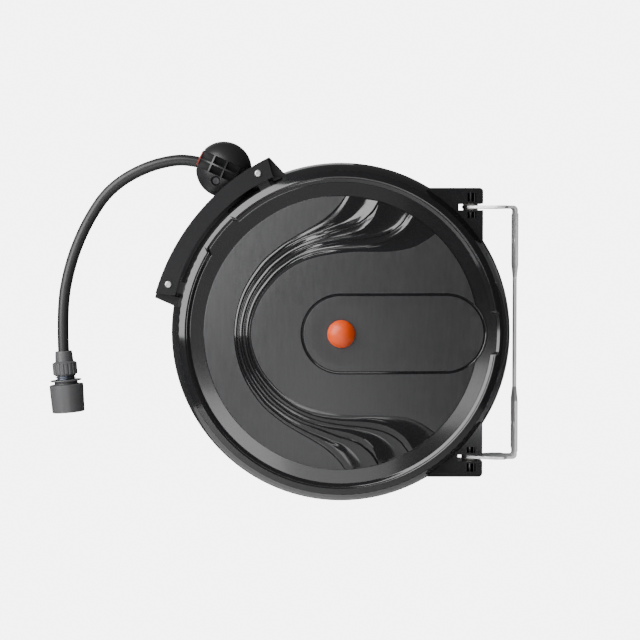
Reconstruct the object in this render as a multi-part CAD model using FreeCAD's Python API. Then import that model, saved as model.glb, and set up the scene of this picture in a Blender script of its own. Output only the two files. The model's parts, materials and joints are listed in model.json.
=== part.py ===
import FreeCAD, Part
import math
import os

# A wall-mounted, spring-retracted hose reel. Millimetres, +Z up, front towards -Y.
# Everything is drawn about the reel's own axis (Y, through x = z = 0), with the wall at
# x = WALL_X, and is moved by -WALL_X when saved, so the origin is the wall mount's centre.

V = FreeCAD.Vector
Y_AXIS = V(0, 1, 0)
Z_AXIS = V(0, 0, 1)

# ---- driving dimensions ----
WALL_X = 187.0           # reel axis to wall
CASE_R = 180.0           # half of the case's diameter
RIM_IN_R = 163.0         # inner edge of the raised rim
DISC_R = 145.0           # edge of the domed centre panel
SHELL = 2.8              # moulded wall thickness
FLAT_Y = 31.0            # depth of the flat ring between rim and panel
RIM_Y = 34.0             # depth of the rim's crest
DOME_Y = 46.0            # depth at the panel's centre
DISC_Y = 32.0            # depth at the panel's edge

PIN_X = 138.0            # swivel pin, from the reel axis
PIN_R = 4.0
LUG_X = 150.0            # outer edge of the swivel lugs
LUG_Y = 20.0             # half width of the lugs
LUG_TOP = 153.0
SLOT_LOW = 129.5         # slot for the bracket's arm
SLOT_HIGH = 136.5
SLOT_X = 124.0

STRAP_T = 3.0
STRAP_HALF = 22.5        # half width of the bracket strap
STRAP_WAIST = 8.0        # half width in the middle of the back plate
ARM_Z = 134.5            # outer face of each arm
ARM_END_R = 9.0
WALL_HOLE_R = 3.3
WALL_HOLE_Y = 12.0
WALL_HOLE_Z = 98.0

AXLE_R = 12.0
AXLE_BORE = 5.0
BUSH_R = 17.0
RUN_GAP = 0.06           # radial clearance of each running fit
HUB_R = 62.0
HUB_IN = 59.0
HUB_Y = 24.0             # half width of the winding space
FLANGE_R = 148.0
FLANGE_T = 2.5
HOSE_R = 6.0
LEAD_STRAIGHT = 40.0     # straight run of the hose inside the case, up to the guide's mouth
LAYERS = 6
TURNS_PER_LAYER = 4
TURN_PITCH = 11.85
LAYER_PITCH = 11.0

GUIDE_MID_DEG = 140.0    # outlet guide, a shallower arc than the case
GUIDE_MID_R = 196.0
GUIDE_ARC_R = 231.6
GUIDE_HALF = 31.5
GUIDE_T = 3.0
BOLT_A = (-87.1, 167.6)
BOLT_B = (-181.4, 51.5)
BOLT_R = 1.75

BALL_R = 29.7
BALL_X = -124.3
BALL_Z = 173.0
HOSE_DEG = 155.5         # direction in which the hose leaves the guide

PLUG_TOP = (-296.0, -20.4)
PLUG_DIR = V(0.0779, 0, -0.997)

RATCHET_TEETH = 12
RATCHET_TIP = 52.0
RATCHET_ROOT = 46.0
PAWL_X = 32.0
PAWL_Z = 60.0

# Free hose, from the outlet guide's mouth to the connector (x, z), all at y = 0.
HOSE_ROUTE = [
    (-104.3, 163.9),
    (-151.0, 185.2),
    (-198.8, 180.0),
    (-244.0, 155.6),
    (-269.8, 118.3),
    (-288.3, 74.3),
    (-297.8, 24.0),
    (-295.8, -23.4),
]


# ---- helpers ----
def polar(radius, degrees, y=0.0):
    angle = math.radians(degrees)
    return V(radius * math.cos(angle), y, radius * math.sin(angle))


def save(name, shape):
    moved = shape.copy()
    moved.translate(V(-WALL_X, 0, 0))
    moved.exportStep("parts/" + name + ".step")
    print(name, round(moved.Volume / 1000.0, 2), "cm3", "valid" if moved.isValid() else "INVALID")


def group(shapes):
    return Part.makeCompound(shapes)


def disc(radius, y0, y1, x=0.0, z=0.0):
    return Part.makeCylinder(radius, y1 - y0, V(x, y0, z), Y_AXIS)


def ring(inner, outer, y0, y1, x=0.0, z=0.0):
    return disc(outer, y0, y1, x, z).cut(disc(inner, y0 - 1, y1 + 1, x, z))


def block(x0, x1, y0, y1, z0, z1):
    return Part.makeBox(x1 - x0, y1 - y0, z1 - z0, V(x0, y0, z0))


def outline(start, steps):
    """Closed wire in the XY plane: each step is an end point, or a (middle, end) pair for an arc."""
    edges = []
    here = V(start[0], start[1], 0)
    for step in steps + [start]:
        if isinstance(step[0], tuple):
            middle = V(step[0][0], step[0][1], 0)
            end = V(step[1][0], step[1][1], 0)
            edges.append(Part.Arc(here, middle, end).toShape())
        else:
            end = V(step[0], step[1], 0)
            edges.append(Part.LineSegment(here, end).toShape())
        here = end
    return Part.Wire(edges)


def turned(start, steps, side=1):
    """Solid of revolution about the Y axis from an outline of (radius, depth) points."""
    face = Part.Face(outline(start, steps))
    solid = face.revolve(V(0, 0, 0), Y_AXIS, 360)
    if side < 0:
        solid = solid.mirror(V(0, 0, 0), Y_AXIS)
    return solid


def prism_xz(points, y0, y1):
    """Prism along Y whose section is a polygon of (x, z) points."""
    corners = [V(x, y0, z) for x, z in points]
    face = Part.Face(Part.makePolygon(corners + corners[:1]))
    return face.extrude(V(0, y1 - y0, 0))


def sector(r0, r1, from_deg, to_deg, half):
    """Block between two radii and two angles, as wide as 2 * half along Y."""
    middle = (from_deg + to_deg) / 2.0
    reach = r1 / math.cos(math.radians((to_deg - from_deg) / 4.0))
    quarter = (to_deg - from_deg) / 4.0
    corners = [polar(0, 0)]
    for k in range(5):
        corners.append(polar(reach, middle + (k - 2) * quarter))
    wedge = prism_xz([(p.x, p.z) for p in corners], -half, half)
    return wedge.cut(disc(r0, -half - 1, half + 1))


def mirrored_z(shape):
    return shape.mirror(V(0, 0, 0), Z_AXIS)


def hexagon(across, y0, y1, x=0.0, z=0.0):
    radius = across / math.sqrt(3)
    points = []
    for k in range(6):
        corner = polar(radius, 60 * k)
        points.append((x + corner.x, z + corner.z))
    return prism_xz(points, y0, y1)


# ---- case ----
BOSS_R = 160.0
BOSS_DEGREES = [15, 65, 95, 185, 225, 265, 305, 345]


def cover_outside(side):
    return turned((0, 0), [
        (CASE_R, 0), (CASE_R, 6), (177, 18), (170.8, 30.2),
        ((166.8, RIM_Y), (RIM_IN_R, FLAT_Y)),
        (DISC_R + 0.6, FLAT_Y), (DISC_R, DISC_Y),
        ((73, 42.5), (0, DOME_Y)),
    ], side)


def cover_inside(side):
    wall = CASE_R - SHELL
    return turned((0, -1), [
        (wall, -1), (wall, 5.6), (174.2, 17.3), (168.4, FLAT_Y - SHELL),
        (DISC_R - 1.5, FLAT_Y - SHELL), (DISC_R - 1.5, DISC_Y - SHELL),
        ((73, 39.7), (0, DOME_Y - SHELL)),
    ], side)


def half_lug(side):
    """One half of the upper swivel lug, with the slot for the arm and the core-out windows."""
    y0, y1 = (-LUG_Y, 0) if side < 0 else (0, LUG_Y)
    lug = block(92, LUG_X, y0, y1, 96, LUG_TOP)
    corner = [e for e in lug.Edges if abs(e.CenterOfMass.x - LUG_X) < 0.1
              and abs(e.CenterOfMass.z - LUG_TOP) < 0.1]
    lug = lug.makeFillet(4.0, corner)
    lug = lug.cut(disc(176.3, -LUG_Y - 1, LUG_Y + 1))
    lug = lug.cut(block(SLOT_X, LUG_X + 1, y0 - 1, y1 + 1, SLOT_LOW, SLOT_HIGH))
    for low, high in ((138.5, 147.5), (121.0, 127.5)):
        lug = lug.cut(block(PIN_X - 4.5, PIN_X + 4.5, y0 - 1, y1 + 1, low, high))
    return lug


def bolt_ears(side):
    """Two plates on the case wall that carry the guide bolts inside the outlet guide."""
    y0, y1 = (-28.2, -24.0) if side < 0 else (24.0, 28.2)
    ears = []
    for x, z in (BOLT_A, BOLT_B):
        reach = math.hypot(x, z)
        turn = math.degrees(math.atan2(z, x))
        web = block(170, reach, y0, y1, -6, 6)
        web.rotate(V(0, 0, 0), Y_AXIS, -turn)
        ear = web.fuse(disc(6, y0, y1, x, z))
        ears.append(ear.cut(disc(BOLT_R + 0.1, y0 - 1, y1 + 1, x, z)))
    return ears


def pin_hole():
    return Part.makeCylinder(PIN_R + 0.02, 33.3, V(PIN_X, 0, 117.2), Z_AXIS)


def cover(side):
    shell = cover_outside(side)
    for extra in [half_lug(side), mirrored_z(half_lug(side))] + bolt_ears(side):
        shell = shell.fuse(extra)
    shell = shell.cut(cover_inside(side))
    shell = shell.cut(pin_hole()).cut(mirrored_z(pin_hole()))
    return shell.cut(sector(165, 188, 114, 161, 20))


def front_cover():
    shell = cover(-1)
    for angle in BOSS_DEGREES:
        place = polar(BOSS_R, angle)
        boss = ring(2.05, 4.5, -FLAT_Y + 1, 0, place.x, place.z)
        shell = shell.fuse(boss)
    shell = shell.fuse(disc(18, -DOME_Y + 1, -32))
    shell = shell.cut(disc(10.1, -DOME_Y - 1, -42.5))
    shell = shell.cut(disc(4.1, -43, -40))
    shell = shell.cut(disc(AXLE_R + 0.1, -40.5, -31))
    return shell.removeSplitter()


def back_cover():
    shell = cover(1)
    for angle in BOSS_DEGREES:
        place = polar(BOSS_R, angle)
        shell = shell.fuse(disc(6.5, 0, FLAT_Y - 0.5, place.x, place.z))
        shell = shell.cut(disc(4.4, 12, FLAT_Y + 5, place.x, place.z))
        shell = shell.cut(disc(2.2, -1, 13, place.x, place.z))
    shell = shell.fuse(disc(22, 33, DOME_Y))
    shell = shell.fuse(disc(6, 31.2, 41, PAWL_X, PAWL_Z))
    shell = shell.fuse(disc(3, 27.2, 39, 52, 72))
    shell = shell.cut(disc(3.02, 31, 39.5, PAWL_X, PAWL_Z))
    shell = shell.cut(disc(AXLE_R + 0.05, 30, DOME_Y + 1))
    return shell.removeSplitter()


def cover_screws():
    screws = []
    for angle in BOSS_DEGREES:
        place = polar(BOSS_R, angle)
        head = disc(4.0, 12.0, 15.0, place.x, place.z)
        head = head.cut(hexagon(2.5, 13.2, 16, place.x, place.z))
        screws.append(head.fuse(disc(2.0, -18, 12, place.x, place.z)))
    return group(screws)


def centre_cap():
    return turned((0, DOME_Y + 10), [
        ((8.6, DOME_Y + 7.6), (14.5, DOME_Y + 1.4)), (14.5, DOME_Y + 0.1), (10.0, DOME_Y + 0.1),
        (10.0, 43.0), (8.0, 43.0), (8.0, 50.0), (0, 50.6),
    ], -1)


def axle_bolt():
    return hexagon(13, -46, -42.5).fuse(disc(4.0, -42.5, -26))


def fixed_axle():
    axle = disc(AXLE_R, -40.2, 57)
    axle = axle.fuse(disc(16, 28.4, 33))
    axle = axle.cut(disc(4.02, -41, -25))
    axle = axle.cut(disc(AXLE_BORE, -14, 58))
    axle = axle.cut(ring(10.8, 20, -29.6, -28.3))
    port = Part.makeCylinder(3.5, 30, V(-15, -10, 0), V(1, 0, 0))
    return axle.cut(port)


def axle_clip():
    clip = ring(10.85, 14.5, -29.5, -28.4)
    return clip.cut(block(-3, 3, -31, -27, -20, 0))


def axle_nut():
    return hexagon(30, 46.2, 54).cut(disc(AXLE_R + 0.05, 45, 55))


def inlet_elbow():
    elbow = disc(15, 54.2, 70)
    elbow = elbow.fuse(Part.makeSphere(11, V(0, 67, 0)))
    elbow = elbow.fuse(Part.makeCylinder(11, 24, V(0, 67, 0), V(0, 0, -1)))
    elbow = elbow.fuse(Part.makeCylinder(8, 44, V(0, 67, 0), V(0, 0, -1)))
    elbow = elbow.cut(disc(AXLE_R + 0.05, 53, 58))
    elbow = elbow.cut(disc(AXLE_BORE, 53, 67))
    return elbow.cut(Part.makeCylinder(AXLE_BORE, 50, V(0, 67, 0), V(0, 0, -1)))


def swivel_pin():
    pin = Part.makeCylinder(PIN_R, 32.6, V(PIN_X, 0, 117.4), Z_AXIS)
    return pin.makeChamfer(0.6, [e for e in pin.Edges if e.Length > 20 and len(e.Vertexes) == 1])


# ---- outlet guide ----
def guide_arc(radius, half):
    centre = polar(GUIDE_MID_R - GUIDE_ARC_R, GUIDE_MID_DEG)
    return disc(radius, -half, half, centre.x, centre.z)


def guide_wedge(ends, half):
    points = [polar(r, a) for r, a in ends]
    return prism_xz([(p.x, p.z) for p in points], -half, half)


def outlet_guide():
    outer_ends = [(165, 107.5), (205, 112.7), (240, 120), (250, 140), (240, 160), (205, 168.9), (165, 172)]
    inner_ends = [(150, 113), (205, 114.6), (240, 122), (250, 140), (240, 158), (205, 167), (150, 168.5)]
    body = guide_arc(GUIDE_ARC_R, GUIDE_HALF).common(guide_wedge(outer_ends, GUIDE_HALF))
    body = body.cut(disc(174.5, -GUIDE_HALF - 1, GUIDE_HALF + 1))
    inside = GUIDE_HALF - GUIDE_T
    hollow = guide_arc(GUIDE_ARC_R - GUIDE_T, inside).common(guide_wedge(inner_ends, inside))
    mouth = guide_arc(GUIDE_ARC_R + 5, inside - 1).common(guide_wedge(inner_ends, inside - 1))
    body = body.cut(hollow).cut(mouth)
    body = body.cut(cover_outside(-1)).cut(cover_outside(1))
    for x, z in (BOLT_A, BOLT_B):
        body = body.cut(disc(BOLT_R + 0.1, -40, 40, x, z))
    pieces = sorted(body.Solids, key=lambda s: -s.Volume)
    return pieces[0]


def guide_bolts():
    bolts = []
    for x, z in (BOLT_A, BOLT_B):
        bolt = disc(BOLT_R, -GUIDE_HALF, GUIDE_HALF + 3.4, x, z)
        head = disc(3.5, -GUIDE_HALF - 2.2, -GUIDE_HALF, x, z)
        rim = [e for e in head.Edges if e.Length > 20 and e.CenterOfMass.y < -GUIDE_HALF - 2]
        bolts.append(bolt.fuse(head.makeFillet(1.4, rim)))
    return group(bolts)


def guide_nuts():
    nuts = []
    for x, z in (BOLT_A, BOLT_B):
        nut = hexagon(6.5, GUIDE_HALF, GUIDE_HALF + 2.8, x, z)
        nuts.append(nut.cut(disc(BOLT_R + 0.02, 30, 40, x, z)))
    return group(nuts)


def roller(place, radius):
    return ring(BOLT_R + RUN_GAP, radius, -23.4, 23.4, place[0], place[1])


# ---- bracket ----
def wall_bracket():
    outer = block(100, WALL_X, -STRAP_HALF, STRAP_HALF, -ARM_Z, ARM_Z)
    bends = [e for e in outer.Edges if abs(e.CenterOfMass.x - WALL_X) < 0.1 and e.Length == STRAP_HALF * 2]
    outer = outer.makeFillet(5.0, bends)
    arm_in = ARM_Z - STRAP_T
    inner = block(90, WALL_X - STRAP_T, -STRAP_HALF - 1, STRAP_HALF + 1, -arm_in, arm_in)
    bends = [e for e in inner.Edges if abs(e.CenterOfMass.x - WALL_X + STRAP_T) < 0.1
             and abs(e.CenterOfMass.y) < 0.1]
    strap = outer.cut(inner.makeFillet(2.0, bends))
    neck = 16.0
    plan = outline((PIN_X - 1.5, ARM_END_R), [
        ((PIN_X - ARM_END_R, 0), (PIN_X - 1.5, -ARM_END_R)),
        (163, -STRAP_HALF), (173, -STRAP_HALF), (176, -neck), (WALL_X + 1, -neck),
        (WALL_X + 1, neck), (176, neck), (173, STRAP_HALF), (163, STRAP_HALF),
    ])
    arms = Part.Face(plan).extrude(V(0, 0, 2 * ARM_Z + 2))
    arms.translate(V(0, 0, -ARM_Z - 1))
    plate = [
        (neck, -140), (neck, -128), (STRAP_HALF, -125), (STRAP_HALF, -72), (STRAP_WAIST, -58),
        (STRAP_WAIST, 58), (STRAP_HALF, 72), (STRAP_HALF, 125), (neck, 128), (neck, 140),
    ]
    plate = plate + [(-y, z) for y, z in reversed(plate)]
    corners = [V(176, y, z) for y, z in plate]
    back = Part.Face(Part.makePolygon(corners + corners[:1])).extrude(V(20, 0, 0))
    strap = strap.common(arms.fuse(block(176.5, WALL_X + 1, -30, 30, -126, 126)))
    strap = strap.common(back.fuse(block(90, 176.5, -30, 30, -140, 140)))
    for y in (-WALL_HOLE_Y, WALL_HOLE_Y):
        for z in (-WALL_HOLE_Z, WALL_HOLE_Z):
            strap = strap.cut(Part.makeCylinder(WALL_HOLE_R, 20, V(175, y, z), V(1, 0, 0)))
    bore = Part.makeCylinder(PIN_R + RUN_GAP, 300, V(PIN_X, 0, -150), Z_AXIS)
    return strap.cut(bore).removeSplitter()


def swivel_washers():
    washers = []
    for low in (ARM_Z + 0.05, ARM_Z - STRAP_T - 1.75):
        washer = Part.makeCylinder(8, 1.7, V(PIN_X, 0, low), Z_AXIS)
        washer = washer.cut(Part.makeCylinder(PIN_R + RUN_GAP, 3, V(PIN_X, 0, low - 0.5), Z_AXIS))
        washers.append(washer)
        washers.append(mirrored_z(washer))
    return group(washers)


# ---- drum ----
HUB_SCREW_R = 54.8
WEB_SCREW_R = 40.0
RING_SCREW_R = 38.0


def drum_hub():
    hub = ring(HUB_IN, HUB_R, -HUB_Y, HUB_Y)
    hub = hub.fuse(ring(BUSH_R + 0.02, HUB_IN + 1, -HUB_Y, -HUB_Y + 3))
    for k in range(6):
        rear = polar(HUB_SCREW_R, 60 * k)
        hub = hub.fuse(disc(4.6, 8, HUB_Y, rear.x, rear.z))
        hub = hub.cut(disc(1.62, 10, HUB_Y + 1, rear.x, rear.z))
        front = polar(WEB_SCREW_R, 60 * k + 30)
        hub = hub.cut(disc(1.62, -HUB_Y - 1, -HUB_Y + 4, front.x, front.z))
    barb = polar(1, 200)
    return hub.cut(Part.makeCylinder(6.0, 30, V(barb.x * 45, -10, barb.z * 45), barb))


def drum_flange(side, screw_r, first_deg):
    y0, y1 = (HUB_Y, HUB_Y + FLANGE_T) if side > 0 else (-HUB_Y - FLANGE_T, -HUB_Y)
    flange = ring(BUSH_R + 0.02, FLANGE_R, y0, y1)
    for k in range(6):
        hole = polar(screw_r, 60 * k + first_deg)
        flange = flange.cut(disc(1.8, y0 - 1, y1 + 1, hole.x, hole.z))
        window = polar(105, 60 * k + 30)
        flange = flange.cut(disc(14, y0 - 1, y1 + 1, window.x, window.z))
    return flange


def rear_flange():
    flange = drum_flange(1, HUB_SCREW_R, 0)
    for k in range(3):
        hole = polar(RING_SCREW_R, 120 * k + 30)
        flange = flange.cut(disc(1.3, HUB_Y - 1, HUB_Y + 4, hole.x, hole.z))
    return flange


def drum_bush(side):
    bush = ring(AXLE_R + RUN_GAP, BUSH_R, HUB_Y - 3, HUB_Y + FLANGE_T)
    bush = bush.fuse(ring(AXLE_R + RUN_GAP, 20, HUB_Y + FLANGE_T, HUB_Y + FLANGE_T + 1.6))
    if side < 0:
        bush = bush.mirror(V(0, 0, 0), Y_AXIS)
    return bush


def screw(place, y_head, y_tip, radius):
    low, high = min(y_head, y_tip), max(y_head, y_tip)
    shank = disc(radius, low, high, place.x, place.z)
    outward = 1.4 if y_head > y_tip else -1.4
    edge = sorted((y_head, y_head + outward))
    return shank.fuse(disc(radius * 1.9, edge[0], edge[1], place.x, place.z))


def drum_screws():
    face = HUB_Y + FLANGE_T
    screws = []
    for k in range(6):
        screws.append(screw(polar(HUB_SCREW_R, 60 * k), face, 12, 1.6))
        screws.append(screw(polar(WEB_SCREW_R, 60 * k + 30), -face, -HUB_Y + 3, 1.6))
    for k in range(3):
        screws.append(screw(polar(RING_SCREW_R, 120 * k + 30), 31.0, HUB_Y + 0.2, 1.2))
    return group(screws)


def ratchet_ring():
    points = []
    pitch = 360.0 / RATCHET_TEETH
    for k in range(RATCHET_TEETH):
        face = 92.5 + pitch * k
        for radius, angle in ((RATCHET_ROOT, face), (RATCHET_TIP, face),
                              (RATCHET_TIP, face + 4), (RATCHET_ROOT, face + 15.5)):
            place = polar(radius, angle)
            points.append((place.x, place.z))
    teeth = prism_xz(points, HUB_Y + FLANGE_T + 0.05, 31)
    teeth = teeth.cut(disc(30, 20, 35))
    for k in range(3):
        hole = polar(RING_SCREW_R, 120 * k + 30)
        teeth = teeth.cut(disc(1.3, 20, 35, hole.x, hole.z))
    return teeth


def pawl():
    arm = prism_xz([(-1, 53.2), (4.5, 53.9), (9, 57.2), (31, 54.6), (33, 65.8), (-1, 60.5)], 27.3, 30.7)
    arm = arm.fuse(disc(6, 27.3, 30.7, PAWL_X, PAWL_Z))
    return arm.cut(disc(3 + RUN_GAP, 20, 35, PAWL_X, PAWL_Z))


def pawl_spring():
    leaf = prism_xz([(51, 75.4), (30, 72.6), (12, 66.4), (6, 63.4), (6.3, 62.9), (12.3, 65.8),
                     (30.2, 72.0), (51.2, 74.8)], 27.6, 30.4)
    return leaf.fuse(disc(4.0, 27.6, 30.4, 52, 72).cut(disc(3.02, 20, 35, 52, 72)))


def winding():
    """The whole wound hose as one ring, its outside scalloped by the last layer's turns."""
    top = HUB_R + HOSE_R + LAYER_PITCH * (LAYERS - 1)
    half = TURN_PITCH * TURNS_PER_LAYER / 2.0
    steps = [(top + 1, -half)]
    for k in range(TURNS_PER_LAYER):
        low = -half + TURN_PITCH * k
        steps.append(((top + HOSE_R, low + TURN_PITCH / 2.0), (top + 1, low + TURN_PITCH)))
    steps.append((HUB_R + 0.3, half))
    return turned((HUB_R + 0.3, -half), steps)


def wound_length():
    total = 0.0
    for k in range(LAYERS):
        total += TURNS_PER_LAYER * 2 * math.pi * (HUB_R + HOSE_R + LAYER_PITCH * k)
    return total / 1000.0


def hub_union():
    """Rotary union: carries the water from the axle's port to the inner end of the hose."""
    body = ring(AXLE_R + RUN_GAP, 23, -19, -1)
    spout = polar(1, 200)
    body = body.fuse(Part.makeCylinder(5, 39, V(spout.x * 22, -10, spout.z * 22), spout))
    body = body.cut(Part.makeCylinder(3.4, 50, V(spout.x * 13, -10, spout.z * 13), spout))
    body = body.cut(ring(AXLE_R, 15, -12.5, -7.5))
    for low in (-18.0, -5.0):
        body = body.cut(ring(AXLE_R, 14.6, low, low + 3))
    return body


def union_seals():
    seals = []
    for middle in (-16.5, -3.5):
        seal = Part.makeTorus(13.3, 1.2, V(0, middle, 0), Y_AXIS)
        seals.append(seal)
    return group(seals)


def power_spring():
    """Flat spiral spring, drawn as half circles about two alternating centres."""
    pitch = 3.6
    thick = 1.1
    turns = 9
    inner = []
    outer = []
    for k in range(turns * 2):
        middle = 15.5 + k * pitch / 2.0
        centre = 0.0 if k % 2 == 0 else pitch / 2.0
        sign = 1 if k % 2 == 0 else -1
        for edges, radius in ((inner, middle - thick / 2), (outer, middle + thick / 2)):
            start = V(centre + sign * radius, 3, 0)
            top = V(centre, 3, sign * radius)
            end = V(centre - sign * radius, 3, 0)
            edges.append(Part.Arc(start, top, end).toShape())
    return spiral_solid(inner, outer)


def spiral_solid(inner, outer):
    """Strip between two spiral edge lists, 16 mm wide."""
    closing = []
    for k, end in ((0, 0), (-1, 1)):
        near = inner[k].Vertexes[end].Point
        far = outer[k].Vertexes[end].Point
        closing.append(Part.LineSegment(near, far).toShape())
    wire = Part.Wire(Part.__sortEdges__(inner + outer + closing))
    return Part.Face(wire).extrude(V(0, 16, 0))


# ---- hose and what is on it ----
def tube(points, radius):
    """Tube of straight runs joined by tangent arcs; prints each arc's radius."""
    places = [V(x, 0, z) for x, z in points]
    edges = []
    here = places[0]
    radii = []
    for k in range(1, len(places) - 1):
        back = (places[k - 1] - places[k])
        ahead = (places[k + 1] - places[k])
        shorter = min(back.Length, ahead.Length)
        turn = math.pi - back.getAngle(ahead)
        radii.append(round(0.45 * shorter / math.tan(turn / 2.0), 1))
        back.normalize()
        ahead.normalize()
        start = places[k] + back * (0.45 * shorter)
        end = places[k] + ahead * (0.45 * shorter)
        inward = (back + ahead).normalize()
        reach = radii[-1] / math.cos(turn / 2.0) - radii[-1]
        edges.append(Part.LineSegment(here, start).toShape())
        edges.append(Part.Arc(start, places[k] + inward * reach, end).toShape())
        here = end
    edges.append(Part.LineSegment(here, places[-1]).toShape())
    path = Part.Wire(edges)
    section = Part.Wire(Part.makeCircle(radius, places[0], places[1] - places[0]))
    solid = path.makePipeShell([section], True, False)
    print("hose radii", radii, "length", round(path.Length, 1),
          "volume ratio", round(solid.Volume / (math.pi * radius ** 2 * path.Length), 4))
    return solid


def inner_lead():
    """The stretch from the winding's last turn, over one bend, to the outlet guide's mouth."""
    last_turn = HUB_R + HOSE_R + LAYER_PITCH * (LAYERS - 1)
    mouth = V(HOSE_ROUTE[0][0], 0, HOSE_ROUTE[0][1])
    outward = polar(1, HOSE_DEG)
    bend = mouth - outward * LEAD_STRAIGHT
    bend_deg = math.degrees(math.atan2(bend.z, bend.x))
    touch = polar(last_turn, bend_deg - math.degrees(math.acos(last_turn / bend.Length)))
    start = touch + (bend - touch).normalize() * 62.0
    end = mouth - outward * 0.5
    return tube([(place.x, place.z) for place in (start, bend, end)], HOSE_R)


def in_ball_frame(shape):
    """From a frame with the hose along +X and Y across, to the ball's place and tilt."""
    shape.rotate(V(0, 0, 0), Y_AXIS, -HOSE_DEG)
    shape.translate(V(BALL_X, 0, BALL_Z))
    return shape


def ball_half(side):
    half = Part.makeSphere(BALL_R)
    keep = block(-BALL_R, BALL_R - 3.0, -BALL_R, 0, -BALL_R, BALL_R)
    half = half.common(keep)
    half = half.cut(Part.makeCylinder(HOSE_R + 0.1, 60, V(-30, 0, 0), V(1, 0, 0)))
    half = half.cut(Part.makeCone(HOSE_R + 0.1, 9.6, 20, V(8, 0, 0), V(1, 0, 0)))
    for column in range(4):
        middle = -23.8 + 14.6 * column
        for low in (-9.3, 0.8):
            half = half.cut(block(middle - 6.5, middle + 6.5, -BALL_R, -11.0, low, low + 8.5))
    half = half.cut(disc(5.0, -BALL_R, -12, 1.7, 14.7))
    half = half.cut(disc(2.1, -13, 1, 1.7, 14.7))
    half = half.cut(disc(1.62, -14, 1, 1.7, -14.7))
    if side > 0:
        half.rotate(V(0, 0, 0), V(1, 0, 0), 180)
    return in_ball_frame(half)


def ball_screws():
    front = disc(3.6, -15, -12, 1.7, 14.7).fuse(disc(1.6, -12, 13, 1.7, 14.7))
    front = front.cut(hexagon(2.5, -16, -13.4, 1.7, 14.7))
    rear = front.copy()
    rear.rotate(V(0, 0, 0), V(1, 0, 0), 180)
    return in_ball_frame(group([front, rear]))


def ball_collar():
    collar = Part.makeCylinder(9.3, 1.6, V(BALL_R - 2.95, 0, 0), V(1, 0, 0))
    collar = collar.cut(Part.makeCylinder(7.6, 5, V(BALL_R - 4, 0, 0), V(1, 0, 0)))
    return in_ball_frame(collar)


def on_plug(shape):
    """From a frame with the connector along +Y from its top, to its place at the hose's end."""
    shape.Placement = FreeCAD.Placement(
        V(PLUG_TOP[0], 0, PLUG_TOP[1]), FreeCAD.Rotation(Y_AXIS, PLUG_DIR)).multiply(shape.Placement)
    return shape


def clamp_nut():
    nut = turned((HOSE_R + 0.1, 0), [
        (8.4, 0), (9.0, 0.8), (9.7, 11), (12.0, 12), (13.0, 12.8), (13.0, 24.2), (12.4, 25),
        (9.9, 25), (9.9, 12), (HOSE_R + 0.1, 12),
    ])
    for k in range(18):
        place = polar(13.6, 20 * k)
        nut = nut.cut(disc(1.3, 13.2, 25.5, place.x, place.z))
    return on_plug(nut)


def connector_body():
    body = turned((3.0, 3.4), [
        (3.8, 3.4), (4.6, 12.2), (9.8, 12.4), (9.8, 25.2), (11.2, 25.2), (11.2, 26.2), (9.4, 26.2),
        (9.4, 40), (12.0, 40), (12.0, 62), (8.3, 62), (8.3, 47), (8.0, 47), (8.0, 44), (3.0, 44),
    ])
    for k in range(3):
        body = body.cut(Part.makeCylinder(1.75, 6, V(0, 53, 0) + polar(7.5, 120 * k + 90), polar(1, 120 * k + 90)))
    return on_plug(body)


def latch_balls():
    balls = []
    for k in range(3):
        balls.append(Part.makeSphere(1.6, V(0, 53, 0) + polar(10.3, 120 * k + 90)))
    return on_plug(group(balls))


def connector_seal():
    return on_plug(Part.makeTorus(6.7, 1.15, V(0, 45.4, 0), Y_AXIS))


def release_sleeve():
    sleeve = turned((11.5, 30.6), [
        (16.5, 30.6), (16.5, 32.2), (12.4, 32.2), (12.4, 35.5), (17.4, 35.5), (18.0, 36.4), (18.0, 40),
        (17.2, 64.6), (16.6, 65.5), (12.4, 65.5), (12.4, 38), (9.6, 38), (9.6, 36), (11.5, 36),
    ])
    return on_plug(sleeve)


def sleeve_spring():
    helix = Part.makeHelix(2.2, 8.6, 10.3)
    profile = Part.Wire(Part.makeCircle(0.45, V(10.3, 0, 0), Y_AXIS))
    coil = Part.Wire(helix).makePipeShell([profile], True, True)
    coil.rotate(V(0, 0, 0), V(1, 0, 0), -90)
    coil.translate(V(0, 26.8, 0))
    return on_plug(coil)


# ---- save every piece ----
save("wall_bracket", wall_bracket())
save("swivel_washers", swivel_washers())
save("front_cover", front_cover())
save("back_cover", back_cover())
save("cover_screws", cover_screws())
save("centre_cap", centre_cap())
save("upper_swivel_pin", swivel_pin())
save("lower_swivel_pin", mirrored_z(swivel_pin()))
save("outlet_guide", outlet_guide())
save("guide_bolts", guide_bolts())
save("guide_nuts", guide_nuts())
save("upper_roller", roller(BOLT_A, 4.2))
save("lower_roller", roller(BOLT_B, 6.0))
save("fixed_axle", fixed_axle())
save("axle_bolt", axle_bolt())
save("axle_clip", axle_clip())
save("axle_nut", axle_nut())
save("inlet_elbow", inlet_elbow())
save("pawl", pawl())
save("pawl_pin", disc(3.0, 26.8, 39.3, PAWL_X, PAWL_Z))
save("pawl_spring", pawl_spring())
save("drum_hub", drum_hub())
save("front_flange", drum_flange(-1, WEB_SCREW_R, 30))
save("rear_flange", rear_flange())
save("front_bush", drum_bush(-1))
save("rear_bush", drum_bush(1))
save("drum_screws", drum_screws())
save("ratchet_ring", ratchet_ring())
save("hub_union", hub_union())
save("union_seals", union_seals())
save("power_spring", power_spring())
save("wound_hose", winding())
save("inner_hose_lead", inner_lead())
save("free_hose", tube(HOSE_ROUTE, HOSE_R))
save("stopper_front_half", ball_half(-1))
save("stopper_rear_half", ball_half(1))
save("stopper_screws", ball_screws())
save("stopper_collar", ball_collar())
save("clamp_nut", clamp_nut())
save("connector_body", connector_body())
save("connector_seal", connector_seal())
save("latch_balls", latch_balls())
save("release_sleeve", release_sleeve())
save("sleeve_spring", sleeve_spring())
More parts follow.
